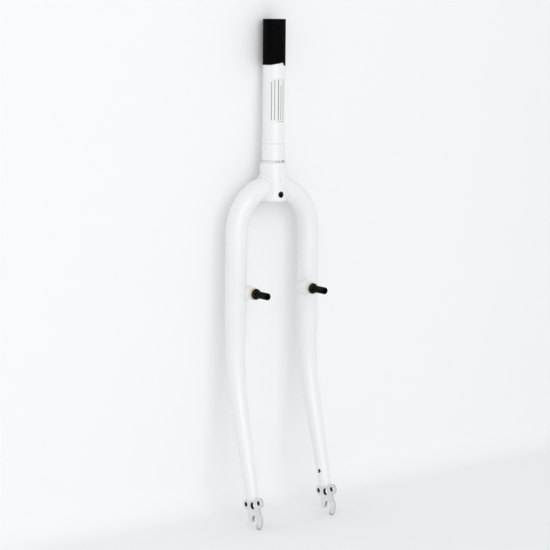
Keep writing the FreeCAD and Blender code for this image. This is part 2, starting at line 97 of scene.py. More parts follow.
class NodeSheet:
    """A node tree with short calls that place nodes and join them."""

    MIX_FIRST, MIX_SECOND, MIX_RESULT = 6, 7, 2

    def __init__(self, tree: Tree) -> None:
        """Keeps the tree that the nodes go into."""
        self.tree = tree

    def feed(self, socket: Socket, value: object) -> None:
        """Gives an input its value.

        Args:
            socket: the input.
            value: a socket to join it to, or a plain value to set.
        """
        if isinstance(value, Socket):
            self.tree.links.new(value, socket)
        else:
            socket.default_value = value

    def add(self, kind: str, inputs: dict | None = None, **settings: object) -> Node:
        """Places a node.

        Args:
            kind: the node's type name.
            inputs: its inputs, sockets or plain values.
            **settings: properties of the node.

        Returns:
            The new node.
        """
        node = self.tree.nodes.new(kind)
        for name, value in settings.items():
            setattr(node, name, value)
        for key, value in (inputs or {}).items():
            self.feed(node.inputs[key], value)
        return node

    def calc(self, operation: str, *values: object) -> Socket:
        """Places a Math node on sockets or numbers and gives its result."""
        return self.add("ShaderNodeMath", dict(enumerate(values)), operation=operation).outputs["Value"]

    def length(self, *legs: Socket) -> Socket:
        """Places the length of two legs at right angles."""
        squares = [self.calc("POWER", leg, 2.0) for leg in legs]
        return self.calc("SQRT", self.calc("ADD", *squares))

    def ramp(self, value: Socket, low: object, high: object) -> Socket:
        """Places a smooth step that goes from 0 at low to 1 at high."""
        limits = {"Value": value, "From Min": low, "From Max": high}
        return self.add("ShaderNodeMapRange", limits, interpolation_type="SMOOTHSTEP").outputs["Result"]

    def mix(self, share: Socket, first: object, second: object) -> Socket:
        """Places a mix of two colours that goes from the first to the second with the share."""
        inputs = {"Factor": share, self.MIX_FIRST: first, self.MIX_SECOND: second}
        return self.add("ShaderNodeMix", inputs, data_type="RGBA").outputs[self.MIX_RESULT]

    def noise(self, place: Socket, scale: object, detail: float, roughness: float = 0.5) -> Socket:
        """Places a noise texture and gives its value."""
        inputs = {"Vector": place, "Scale": scale, "Detail": detail, "Roughness": roughness}
        return self.add("ShaderNodeTexNoise", inputs).outputs["Fac"]

    def split(self, place: Socket) -> Outputs:
        """Places the three coordinates of a place."""
        return self.add("ShaderNodeSeparateXYZ", {"Vector": place}).outputs


class EffectSheet(NodeSheet):
    """The node group of a shared effect, which starts from a place."""

    PLACES = ("Place", "Middle")

    def __init__(self, name: str, inputs: Sequence[str], outputs: Sequence[str]) -> None:
        """Makes the empty group.

        Args:
            name: the group's name.
            inputs: its inputs after the place, numbers unless they are in PLACES.
            outputs: its outputs.
        """
        super().__init__(bpy.data.node_groups.new(name, "ShaderNodeTree"))
        for socket in ("Place", *inputs):
            kind = "NodeSocketVector" if socket in self.PLACES else "NodeSocketFloat"
            self.tree.interface.new_socket(socket, in_out="INPUT", socket_type=kind)
        for socket in outputs:
            self.tree.interface.new_socket(socket, in_out="OUTPUT", socket_type="NodeSocketFloat")
        self.given = self.add("NodeGroupInput").outputs
        self.taken = self.add("NodeGroupOutput").inputs

    def give(self, **results: Socket) -> None:
        """Joins the results to the group's outputs."""
        for name, result in results.items():
            self.feed(self.taken[name], result)


class SprayedFilm(EffectSheet):
    """Sprayed film: fine orange peel, a slow swell, pale clouds and flecks."""

    PEEL_GRAIN: Span = (2.0, 0.45)
    SWELL_SHARE: float = 0.21
    SWELL_DETAIL: float = 1.0
    SWELL_HEIGHT: float = 0.6
    CLOUD_GRAIN: Span = (4.0, 0.55)
    CLOUD_STEP: Span = (0.38, 0.66)
    FLECK_SHARE: float = 6.0
    FLECK_STEP: Span = (0.075, 0.03)

    def __init__(self) -> None:
        """Builds the node group."""
        super().__init__("sprayed_film", ("Peels", "Clouds"), ("Height", "Cloud", "Fleck"))
        place, peels, clouds, *_ = self.given
        peel = self.noise(place, peels, *self.PEEL_GRAIN)
        swell = self.noise(place, self.calc("MULTIPLY", peels, self.SWELL_SHARE), self.SWELL_DETAIL)
        cloud = self.noise(place, clouds, *self.CLOUD_GRAIN)
        flecks = self.calc("MULTIPLY", clouds, self.FLECK_SHARE)
        fleck = self.add("ShaderNodeTexVoronoi", {"Vector": place, "Scale": flecks})
        self.give(Height=self.calc("MULTIPLY_ADD", swell, self.SWELL_HEIGHT, peel),
                  Cloud=self.ramp(cloud, *self.CLOUD_STEP),
                  Fleck=self.ramp(fleck.outputs["Distance"], *self.FLECK_STEP))


class LatheRings(EffectSheet):
    """Fine tool rings at right angles to an axis."""

    RING_DETAIL: float = 3.0
    BLUR_SCALE: float = 260.0
    BLUR_DETAIL: float = 2.0
    BLUR_STEP: Span = (0.2, 0.75)

    def __init__(self) -> None:
        """Builds the node group."""
        super().__init__("lathe_rings", ("Along", "Rings"), ("Height", "Tone"))
        place, along, rings, *_ = self.given
        line = self.add("ShaderNodeTexNoise", {"W": along, "Scale": rings, "Detail": self.RING_DETAIL},
                        noise_dimensions="1D").outputs["Fac"]
        blur = self.ramp(self.noise(place, self.BLUR_SCALE, self.BLUR_DETAIL), *self.BLUR_STEP)
        self.give(Height=line, Tone=self.calc("MULTIPLY", line, blur))


class BrokenBand(EffectSheet):
    """A band for soil, tints and painted shade, broken up along its edges."""

    FULL_SHARE: float = 0.2
    PATCH_SCALE: float = 320.0
    PATCH_GRAIN: Span = (5.0, 0.6)
    PATCH_STEP: Span = (0.34, 0.62)

    def __init__(self) -> None:
        """Builds the node group."""
        super().__init__("broken_band", ("Along", "Centre", "Reach", "Breakup"), ("Mask",))
        place, along, centre, reach, breakup, *_ = self.given
        away = self.calc("ABSOLUTE", self.calc("SUBTRACT", along, centre))
        near = self.ramp(self.calc("DIVIDE", away, reach), 1.0, self.FULL_SHARE)
        patch = self.ramp(self.noise(place, self.PATCH_SCALE, *self.PATCH_GRAIN), *self.PATCH_STEP)
        worn = self.calc("MULTIPLY_ADD", self.calc("SUBTRACT", patch, 1.0), breakup, 1.0)
        self.give(Mask=self.calc("MULTIPLY", near, worn))


class RoundSpot(EffectSheet):
    """A round spot that fades out from an inner share of its reach to its reach."""

    def __init__(self) -> None:
        """Builds the node group."""
        super().__init__("round_spot", ("Middle", "Reach", "Inner"), ("Mask",))
        place, middle, reach, inner, *_ = self.given
        away = self.add("ShaderNodeVectorMath", {0: place, 1: middle}, operation="DISTANCE")
        share = self.calc("DIVIDE", away.outputs["Value"], reach)
        self.give(Mask=self.ramp(share, 1.0, inner))


class Hairlines(EffectSheet):
    """Thin scattered handling marks in two directions."""

    COVER_FADE: float = 0.12
    DIRECTIONS: tuple[tuple[float, Point], ...] = ((0.35, (1.0, 14.0, 1.0)), (-0.8, (1.0, 1.0, 18.0)))
    MARK_DETAIL: float = 3.0
    MARK_MIDDLE: float = 0.5
    MARK_STEP: Span = (0.012, 0.002)
    PATCH_SCALE: float = 45.0
    PATCH_DETAIL: float = 2.0

    def __init__(self) -> None:
        """Builds the node group."""
        super().__init__("handling_hairlines", ("Density", "Cover"), ("Mask",))
        place, density, cover, *_ = self.given
        marks = []
        for turn, stretch in self.DIRECTIONS:
            turned = self.add("ShaderNodeMapping", {"Vector": place, "Rotation": (turn, turn, 0.0),
                                                    "Scale": stretch}).outputs["Vector"]
            noise = self.noise(turned, density, self.MARK_DETAIL)
            off = self.calc("ABSOLUTE", self.calc("SUBTRACT", noise, self.MARK_MIDDLE))
            marks.append(self.ramp(off, *self.MARK_STEP))
        patch = self.noise(place, self.PATCH_SCALE, self.PATCH_DETAIL)
        allowed = self.ramp(patch, cover, self.calc("ADD", cover, self.COVER_FADE))
        self.give(Mask=self.calc("MULTIPLY", self.calc("MAXIMUM", *marks), allowed))


class Effects:
    """The shared effects of the finishes, each built once."""

    def __init__(self) -> None:
        """Builds every effect."""
        self.film = SprayedFilm()
        self.rings = LatheRings()
        self.soil = BrokenBand()
        self.spot = RoundSpot()
        self.hairlines = Hairlines()


class PaintSheet(NodeSheet):
    """The nodes of a material, with its shader, the place on the piece and its coordinates."""

    def __init__(self, tree: Tree, effects: Effects) -> None:
        """Starts from the nodes of a new material.

        Args:
            tree: the material's tree.
            effects: the shared effects.
        """
        super().__init__(tree)
        self.effects = effects
        self.shader = tree.nodes["Principled BSDF"]
        self.place = self.add("ShaderNodeTexCoord").outputs["Object"]
        self.axes = self.split(self.place)

    def effect(self, effect: EffectSheet, **inputs: object) -> Outputs:
        """Places a shared effect on the piece."""
        return self.add("ShaderNodeGroup", {"Place": self.place, **inputs}, node_tree=effect.tree).outputs

    def marks(self, density: float, cover: float) -> Socket:
        """Places handling marks on the piece."""
        return self.effect(self.effects.hairlines, Density=density, Cover=cover)["Mask"]

    def dress(self, **inputs: object) -> None:
        """Feeds the shader's inputs, with underscores for the spaces in their names."""
        for name, value in inputs.items():
            self.feed(self.shader.inputs[name.replace("_", " ")], value)

    def bump(self, height: Socket, depth: float) -> None:
        """Turns a height of about 0 to 1 into the shader's normal, where 1 is the depth in metres."""
        bump = self.add("ShaderNodeBump", {"Height": height, "Strength": 1.0, "Distance": depth})
        self.dress(Normal=bump.outputs["Normal"])


@dataclass(frozen=True)
class TintBand:
    """A band across a piece in another colour, for soil, tints and painted shade: its middle, reach,
    darkness and loss.
    """

    centre: float
    reach: float
    share: float
    breakup: float = 0.6

    def mask(self, sheet: PaintSheet, along: Socket) -> Socket:
        """Marks the band, which lies across the coordinate given."""
        soil = sheet.effect(sheet.effects.soil, Along=along, Centre=self.centre, Reach=self.reach,
                            Breakup=self.breakup)
        return sheet.calc("MULTIPLY", soil["Mask"], self.share)


@dataclass(frozen=True)
class SoilSpot:
    """A round speck of soil or a chip: its middle, reach, darkness and the share of it that is full."""

    centre: Point
    reach: float
    share: float
    inner: float = 0.3

    def mask(self, sheet: PaintSheet) -> Socket:
        """Marks the speck."""
        speck = sheet.effect(sheet.effects.spot, Middle=self.centre, Reach=self.reach, Inner=self.inner)
        return sheet.calc("MULTIPLY", speck["Mask"], self.share)


@dataclass(frozen=True)
class Hole:
    """A drilled hole: the axis that it runs along, its middle, its radius and how its wall fades."""

    axis: int
    centre: Point
    radius: float
    wall_step: Span = (1.06, 1.0176)

    @classmethod
    def at_mount(cls, name: str) -> "Hole":
        """Reads the hole of one of the record's mounts.

        Args:
            name: the mount's name.

        Returns:
            The hole.
        """
        mount = next(row for row in frame["record"]["mounts"] if row["name"] == name)
        axis = [abs(share) for share in mount["axis"]].index(1)
        return cls(axis, tuple(mount["pos_m"]), mount["dims"]["r_mm"] * MILLIMETRE)

    def mask(self, sheet: PaintSheet) -> Socket:
        """Marks the hole's wall.

        Args:
            sheet: the material's nodes.

        Returns:
            A socket that is 1 on the wall.
        """
        across = [index for index in range(3) if index != self.axis]
        legs = [sheet.calc("SUBTRACT", sheet.axes[index], self.centre[index]) for index in across]
        return sheet.ramp(sheet.length(*legs), *(self.radius * share for share in self.wall_step))


@dataclass(frozen=True)
class Finish:
    """A finish with one Principled shader, its plain values and the scales of its film."""

    name: str
    colour: Colour
    roughness: float
    metallic: float = 0.0
    coat: float = 0.0
    coat_roughness: float = 0.08
    specular: float = 0.5
    peel_scale: float = 700.0
    peel_depth: float = 0.000012
    cloud_scale: float = 28.0

    def make(self, effects: Effects) -> Material:
        """Builds the material.

        Args:
            effects: the shared effects.

        Returns:
            The material.
        """
        material = bpy.data.materials.new(self.name)
        material.use_nodes = True
        material.diffuse_color = self.colour
        sheet = PaintSheet(material.node_tree, effects)
        sheet.dress(Base_Color=self.colour, Roughness=self.roughness, Metallic=self.metallic,
                    Coat_Weight=self.coat, Coat_Roughness=self.coat_roughness,
                    Specular_IOR_Level=self.specular)
        self.paint(sheet)
        return material

    def paint(self, sheet: PaintSheet) -> None:
        """Leaves the plain values, where a finish has nothing to lay over them."""

    def film(self, sheet: PaintSheet) -> Outputs:
        """Places the sprayed film of this finish."""
        return sheet.effect(sheet.effects.film, Peels=self.peel_scale, Clouds=self.cloud_scale)


@dataclass(frozen=True)
class Enamel(Finish):
    """Gloss enamel with orange peel and pale clouds, tinted bands and specks, and bare steel in bores and
    holes, darkened there as painted shade.
    """

    colour: Colour = (0.87, 0.872, 0.868, 1.0)
    roughness: float = 0.30
    coat: float = 0.5
    cloud_colour: Colour = (0.860, 0.862, 0.857, 1.0)
    cloud_rough: float = 0.05
    soil_colour: Colour = (0.20, 0.155, 0.10, 1.0)
    soil_rough: float = 0.4
    soil_axis: str = "Z"
    bands: tuple[TintBand, ...] = ()
    spots: tuple[SoilSpot, ...] = ()
    # Bare steel in the bore and the holes, darkened as painted shade.
    bare_steel_shade_colour: Colour = (0.075, 0.066, 0.060, 1.0)
    bare_rough: float = 0.18
    bare_radius: float = 0.0
    bare_above: float = 1.0
    hole_mounts: tuple[str, ...] = ()

    def paint(self, sheet: PaintSheet) -> None:
        """Lays peel, clouds, tinted bands and specks, and bare steel darkened as painted shade.

        Args:
            sheet: the material's nodes.
        """
        film = self.film(sheet)
        colour = sheet.mix(film["Cloud"], self.colour, self.cloud_colour)
        rough = sheet.calc("MULTIPLY_ADD", film["Cloud"], self.cloud_rough, self.roughness)
        soils = [band.mask(sheet, sheet.axes[self.soil_axis]) for band in self.bands]
        for soil in soils + [spot.mask(sheet) for spot in self.spots]:
            colour = sheet.mix(soil, colour, self.soil_colour)
            rough = sheet.calc("MULTIPLY_ADD", soil, self.soil_rough, rough)
        if self.bare_radius:
            bare = self.bare_steel_and_shade_mask(sheet)
            colour = sheet.mix(bare, colour, self.bare_steel_shade_colour)
            rough = sheet.calc("MULTIPLY_ADD", bare, self.bare_rough, rough)
            sheet.dress(Metallic=bare, Coat_Weight=sheet.calc("MULTIPLY_ADD", bare, -self.coat, self.coat))
        sheet.dress(Base_Color=colour, Roughness=rough)
        sheet.bump(film["Height"], self.peel_depth)

    def bare_steel_and_shade_mask(self, sheet: PaintSheet) -> Socket:
        """Marks the unpainted steel of the bore, of the thread and of the holes, which is also darkened as
        painted shade.

        Args:
            sheet: the material's nodes.

        Returns:
            A socket that is 1 on bare steel and its painted shade.
        """
        radius = sheet.length(sheet.axes["X"], sheet.axes["Y"])
        bare = sheet.calc("MAXIMUM", sheet.calc("LESS_THAN", radius, self.bare_radius),
                          sheet.calc("GREATER_THAN", sheet.axes["Z"], self.bare_above))
        for name in self.hole_mounts:
            bare = sheet.calc("MAXIMUM", bare, Hole.at_mount(name).mask(sheet))
        return bare


@dataclass(frozen=True)
class PlatedSteel(Finish):
    """Satin plate over rolled steel, with rolling streaks and handling marks, and painted shade on its cut
    edges, at its prong ends, in its holes and in its axle slot.

    The right fork tip mirrors the left one, so the left one's mounts serve for both.
    """

    peel_scale: float = 1500.0
    cloud_scale: float = 90.0
    cloud_tone: float = 0.4
    rings: float = 2600.0
    ring_tone: float = 0.6
    ring_height: float = 0.5
    streak_colour: Colour = (0.70, 0.715, 0.73, 1.0)
    streak_rough: float = 0.16
    mark_density: float = 85.0
    mark_cover: float = 0.46
    mark_rough: float = -0.12
    # Painted shade for the cut edges and for a band at the prong ends.
    painted_shade_colour: Colour = (0.38, 0.385, 0.39, 1.0)
    edge_shade_share: float = 0.38
    edge_step: Span = (0.97, 0.8)
    plate_half: float = 0.0021
    # A darker band at the prong ends, painted as contact shade.
    prong_end_shade: TintBand = TintBand(-0.4096, 0.0026, 0.75, 0.4)
    # Near black painted shade for the eyelets, the washer hole and the axle slot walls.
    hole_shade_colour: Colour = (0.012, 0.013, 0.014, 1.0)
    hole_mounts: tuple[str, ...] = ("left_front_eyelet", "left_rear_eyelet", "left_washer_hole")
    slot_mount: str = "left_axle_slot"
    slot_lean: float = 15.5
    slot_shade_share: float = 0.42
    slot_step: Span = (1.06, 1.02)

    def paint(self, sheet: PaintSheet) -> None:
        """Lays streaks, marks, and painted shade on the cut edges, at the prong ends, in the holes and in
        the slot.

        Args:
            sheet: the material's nodes.
        """
        film = self.film(sheet)
        rings = sheet.effect(sheet.effects.rings, Along=sheet.axes["Y"], Rings=self.rings)
        marks = sheet.marks(self.mark_density, self.mark_cover)
        clouds = sheet.calc("MULTIPLY", film["Cloud"], self.cloud_tone)
        tone = sheet.calc("MULTIPLY_ADD", rings["Tone"], self.ring_tone, clouds)
        slot = Hole.at_mount(self.slot_mount)
        # worn is painted shade: the cut edges and the prong ends are darkened.
        worn = sheet.calc("MAXIMUM", self.edge_shade_mask(sheet, slot.centre[0]),
                          self.prong_end_shade.mask(sheet, sheet.axes["Z"]))
        colour = sheet.mix(tone, self.colour, self.streak_colour)
        colour = sheet.mix(worn, colour, self.painted_shade_colour)
        # The eyelets, the washer hole and the slot walls get near black painted shade.
        for name in self.hole_mounts:
            colour = sheet.mix(Hole.at_mount(name).mask(sheet), colour, self.hole_shade_colour)
        colour = sheet.mix(self.slot_shade_mask(sheet, slot), colour, self.hole_shade_colour)
        rough = sheet.calc("MULTIPLY_ADD", tone, self.streak_rough, self.roughness)
        sheet.dress(Base_Color=colour, Roughness=sheet.calc("MULTIPLY_ADD", marks, self.mark_rough, rough))
        height = sheet.calc("MULTIPLY_ADD", rings["Height"], self.ring_height, film["Height"])
        sheet.bump(sheet.calc("SUBTRACT", height, marks), self.peel_depth)

    def edge_shade_mask(self, sheet: PaintSheet, middle: float) -> Socket:
        """Marks the stamped edges, which lie between the plate's two faces, for their painted shade.

        Args:
            sheet: the material's nodes.
            middle: distance of the plate's middle from the middle of the fork.

        Returns:
            A socket with the share of painted shade on the edge.
        """
        across = sheet.calc("SUBTRACT", sheet.calc("ABSOLUTE", sheet.axes["X"]), middle)
        limits = [self.plate_half * share for share in self.edge_step]
        return sheet.calc("MULTIPLY", sheet.ramp(sheet.calc("ABSOLUTE", across), *limits), self.edge_shade_share)

    def slot_shade_mask(self, sheet: PaintSheet, slot: Hole) -> Socket:
        """Marks the walls of the axle slot for their painted shade.

        Args:
            sheet: the material's nodes.
            slot: the round end of the slot.

        Returns:
            A socket with the share of painted shade.
        """
        turn = (-math.radians(self.slot_lean), 0.0, 0.0)
        own = sheet.add("ShaderNodeMapping", {"Vector": sheet.place, "Location": slot.centre,
                                              "Rotation": turn}, vector_type="TEXTURE")
        _, beside, above = sheet.split(own.outputs["Vector"])
        away = sheet.length(beside, sheet.calc("MAXIMUM", above, 0.0))
        limits = [slot.radius * share for share in self.slot_step]
        return sheet.calc("MULTIPLY", sheet.ramp(away, *limits), self.slot_shade_share)


@dataclass(frozen=True)
class BlackSteel(Finish):
    """Blackened turned steel with tool rings and a brownish band on the collar by the boss."""

    rings: float = 3200.0
    ring_colour: Colour = (0.006, 0.0055, 0.005, 1.0)
    ring_rough: float = 0.25
    mark_density: float = 140.0
    mark_cover: float = 0.5
    mark_rough: float = -0.15
    collar_brown_colour: Colour = (0.060, 0.045, 0.018, 1.0)
    collar_brown_band: TintBand = TintBand(-0.0241, 0.0036, 0.9, 0.75)

    def paint(self, sheet: PaintSheet) -> None:
        """Lays rings, marks and the brownish band.

        Args:
            sheet: the material's nodes.
        """
        forward = sheet.axes["Y"]
        rings = sheet.effect(sheet.effects.rings, Along=forward, Rings=self.rings)
        marks = sheet.marks(self.mark_density, self.mark_cover)
        colour = sheet.mix(rings["Tone"], self.colour, self.ring_colour)
        colour = sheet.mix(self.collar_brown_band.mask(sheet, forward), colour, self.collar_brown_colour)
        rough = sheet.calc("MULTIPLY_ADD", rings["Tone"], self.ring_rough, self.roughness)
        sheet.dress(Base_Color=colour, Roughness=sheet.calc("MULTIPLY_ADD", marks, self.mark_rough, rough))
        sheet.bump(rings["Height"], self.peel_depth)


@dataclass(frozen=True)
class WornFilm(Finish):
    """Plastic film with a faint grain, worn in clouds and by handling, or else in flecks."""

    peel_scale: float = 900.0
    peel_depth: float = 0.00001
    cloud_scale: float = 110.0
    cloud_wear: float = 0.4
    mark_density: float = 0.0
    mark_cover: float = 0.44
    worn_colour: Colour = (0.78, 0.775, 0.75, 1.0)
    worn_rough: float = 0.1

    def paint(self, sheet: PaintSheet) -> None:
        """Lays grain and wear.

        Args:
            sheet: the material's nodes.
        """
        film = self.film(sheet)
        marks = film["Fleck"]
        if self.mark_density:
            marks = sheet.marks(self.mark_density, self.mark_cover)
        worn = sheet.calc("MAXIMUM", sheet.calc("MULTIPLY", film["Cloud"], self.cloud_wear), marks)
        sheet.dress(Base_Color=sheet.mix(worn, self.colour, self.worn_colour),
                    Roughness=sheet.calc("MULTIPLY_ADD", worn, self.worn_rough, self.roughness))
        sheet.bump(film["Height"], self.peel_depth)


@dataclass(frozen=True)
class Backdrop(Finish):
    """Pale paper that is clear from behind and fades out far away, so that every side can be seen."""

    cloud_scale: float = 2.0
    cloud_rough: float = 0.05
    middle: Point = (0.0, 0.0, -0.15)
    reach: float = 2.2
    full_share: float = 0.4

    def paint(self, sheet: PaintSheet) -> None:
        """Lays clouds and makes the back and the far ends clear.

        Args:
            sheet: the material's nodes.
        """
        cloud = self.film(sheet)["Cloud"]
        sheet.dress(Roughness=sheet.calc("MULTIPLY_ADD", cloud, self.cloud_rough, self.roughness))
        near = sheet.effect(sheet.effects.spot, Middle=self.middle, Reach=self.reach, Inner=self.full_share)
        back = sheet.add("ShaderNodeNewGeometry").outputs["Backfacing"]
        gone = sheet.calc("MAXIMUM", back, sheet.calc("SUBTRACT", 1.0, near["Mask"]))
        clear = sheet.add("ShaderNodeBsdfTransparent").outputs["BSDF"]
        blend = sheet.add("ShaderNodeMixShader", {0: gone, 1: sheet.shader.outputs["BSDF"], 2: clear})
        sheet.feed(sheet.tree.nodes["Material Output"].inputs["Surface"], blend.outputs["Shader"])


class Finishes:
    """Every finish of the fork and of the studio, built once."""

    def __init__(self, effects: Effects) -> None:
        """Builds every finish.

        Args:
            effects: the shared effects.
        """
        self.paint = Enamel("white_enamel").make(effects)
        self.steerer = Enamel(
            "steerer_enamel", soil_colour=(0.19, 0.175, 0.16, 1.0),
            # Darker lines at the two edges of the shoulder groove and at the top of the race seat, and dark
            # specks by the groove; the last speck is a pit in the paint at the crown's front.
            bands=(TintBand(0.0018, 0.0006, 0.5), TintBand(-0.0006, 0.0006, 0.35),
                   TintBand(0.0209, 0.0006, 0.22)),
            spots=(SoilSpot((0.0047, -0.0118, 0.0008), 0.0023, 0.7),
                   SoilSpot((0.0068, -0.0107, 0.0010), 0.0025, 0.85),
                   SoilSpot((-0.0011, -0.0127, 0.0002), 0.0026, 0.4),
                   SoilSpot((-0.0043, -0.0120, 0.0002), 0.0026, 0.3),
                   SoilSpot((-0.0012, -0.0155, -0.0203), 0.0009, 0.6)),
            bare_radius=0.01125, bare_above=0.1128, hole_mounts=("crown_hole",)).make(effects)
        self.boss = Enamel(
            "boss_enamel", soil_colour=(0.50, 0.46, 0.24, 1.0), soil_axis="Y",
            bands=(TintBand(-0.0234, 0.0050, 0.7),)).make(effects)
        self.plate = PlatedSteel("satin_plate", (0.82, 0.835, 0.85, 1.0), 0.42, metallic=0.4).make(effects)
        self.black = BlackSteel("black_steel", (0.002, 0.002, 0.002, 1.0), 0.42,
                                specular=0.04).make(effects)
        self.guard = WornFilm(
            "guard_plastic", (0.0015, 0.0015, 0.0016, 1.0), 0.6, specular=0.02,
            peel_scale=2200.0, peel_depth=0.00002, cloud_scale=70.0, cloud_wear=0.5, mark_density=70.0,
            worn_colour=(0.004, 0.004, 0.0045, 1.0), worn_rough=-0.14).make(effects)
        self.film = WornFilm("sticker_film", (0.86, 0.862, 0.855, 1.0), 0.42).make(effects)
        self.ink = WornFilm("sticker_ink", (0.16, 0.16, 0.165, 1.0), 0.5,
                            worn_colour=(0.42, 0.42, 0.42, 1.0)).make(effects)
        self.paper = Backdrop("backdrop_paper", (0.94, 0.945, 0.95, 1.0), 0.9).make(effects)


def make_piece(name: str, corners: Sequence[Point], faces: Faces, material: Material,
               staged: bool = False) -> Piece:
    """Makes a mesh piece that rides on the fork or belongs to the studio.

    Args:
        name: the piece's name.
        corners: its corner points in metres.
        faces: corner numbers of each face, outside seen counter-clockwise.
        material: its material.
        staged: whether it belongs to the studio.

    Returns:
        The piece's object.
    """
    mesh = bpy.data.meshes.new(name)
    mesh.from_pydata(corners, [], faces)
    mesh.polygons.foreach_set("use_smooth", [True] * len(mesh.polygons))
    mesh.set_sharp_from_angle(angle=math.radians(SHARP_TURN))
    mesh.materials.append(material)
    mesh.update()
    piece = bpy.data.objects.new(name, mesh)
    bpy.context.scene.collection.objects.link(piece)
    if staged:
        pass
    else:
        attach(piece, BODY)
    LOG.info("%s built in %s", name, material.name)
    return piece


def dress(node: str, material: Material) -> None:
    """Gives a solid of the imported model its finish.

    Args:
        node: the solid's name.
        material: the finish.
    """
    mesh = frame["nodes"][node].data
    mesh.materials.clear()
    mesh.materials.append(material)
    LOG.info("%s dressed in %s", node, material.name)


def follow(knots: Knots, place: float) -> float:
    """Reads a smooth line through knots.

    Args:
        knots: places and values, in rising order of place.
        place: where to read.

    Returns:
        The value there, eased between the two nearest knots.
    """
    for (start, low), (end, high) in zip(knots, knots[1:]):
        if start <= place <= end:
            share = (place - start) / (end - start)
            return low + (high - low) * share * share * (3 - 2 * share)
    return knots[-1][1]


def around(radius: float, turn: float, height: float) -> Point:
    """A point about the steerer's axis, turned by degrees from the shown side towards the left."""
    angle = math.radians(SHOWN_TURN + turn)
    return radius * math.cos(angle), radius * math.sin(angle), height


def grid_faces(rows: int, columns: int, looped: bool = False) -> Faces:
    """Faces of a grid of points stored row by row, where each row closes on itself.

    Args:
        rows: number of rows of points.
        columns: number of points in a row.
        looped: whether the last row joins the first.

    Returns:
        The corner numbers of each face.
    """
    faces = []
    for row in range(rows if looped else rows - 1):
        start, following = row * columns, (row + 1) % rows * columns
        for column in range(columns):
            beside = (column + 1) % columns
            faces.append((start + column, start + beside, following + beside, following + column))
    return faces


@dataclass
class ThreadGuard:
    """The sleeve over the thread: shrunk onto the thread turns, with a torn lower hem."""

    node: str = "thread_guard"
    outer_radius: float = 0.01285
    inner_radius: float = 0.01256
    pitch: float = 0.001058
    ripple: float = 0.00005
    columns: int = 120
    rows_per_turn: int = 6
    lip: float = 0.0001
    hem_start: float = -90.0
    hem: Knots = ((-90, 0.0), (-16, 0.0), (2, 0.0007), (20, 0.0014), (38, 0.0021), (52, 0.0026),
                  (60, -0.0008), (72, -0.0009), (84, -0.0002), (100, 0.0), (150, 0.0004),
                  (210, -0.0002), (270, 0.0))

    def __post_init__(self) -> None:
        """Takes the heights of the sleeve's two ends from the frame."""
        self.bottom, self.top = (corner.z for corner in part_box(self.node))

    def profile(self, turn: float) -> list[Span]:
        """The sleeve's section at one angle, from the inner hem up and over to the outer hem.

        Args:
            turn: angle from the shown side, in degrees.

        Returns:
            Radius and height of each point.
        """
        low, shoulder = self.bottom + follow(self.hem, turn), self.top - self.lip
        rows = round((self.top - self.bottom) / self.pitch) * self.rows_per_turn
        outer = []
        for row in range(rows + 1):
            height = low + (shoulder - low) * row / rows
            wave = (1 - math.cos(2 * math.pi * (height / self.pitch + turn / 360))) / 2
            outer.append((self.outer_radius - self.ripple * wave, height))
        inner = [(self.inner_radius + self.lip, low), (self.inner_radius, low),
                 (self.inner_radius, shoulder), (self.inner_radius + self.lip, self.top),
                 (self.outer_radius - self.lip, self.top)]
        return inner + outer[::-1]

    def build(self, finishes: Finishes) -> None:
        """Builds the sleeve in the place of the plain one.

        Args:
            finishes: the finishes.
        """
        turns = [self.hem_start + 360 * column / self.columns for column in range(self.columns)]
        profiles = [self.profile(turn) for turn in turns]
        points = []
        for ring in zip(*profiles):
            points += [around(radius, turn, height) for turn, (radius, height) in zip(turns, ring)]
        faces = [face[::-1] for face in grid_faces(len(profiles[0]), self.columns, True)]
        sleeve = make_piece("thread_guard_sleeve", points, faces, finishes.guard)
        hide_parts(self.node)


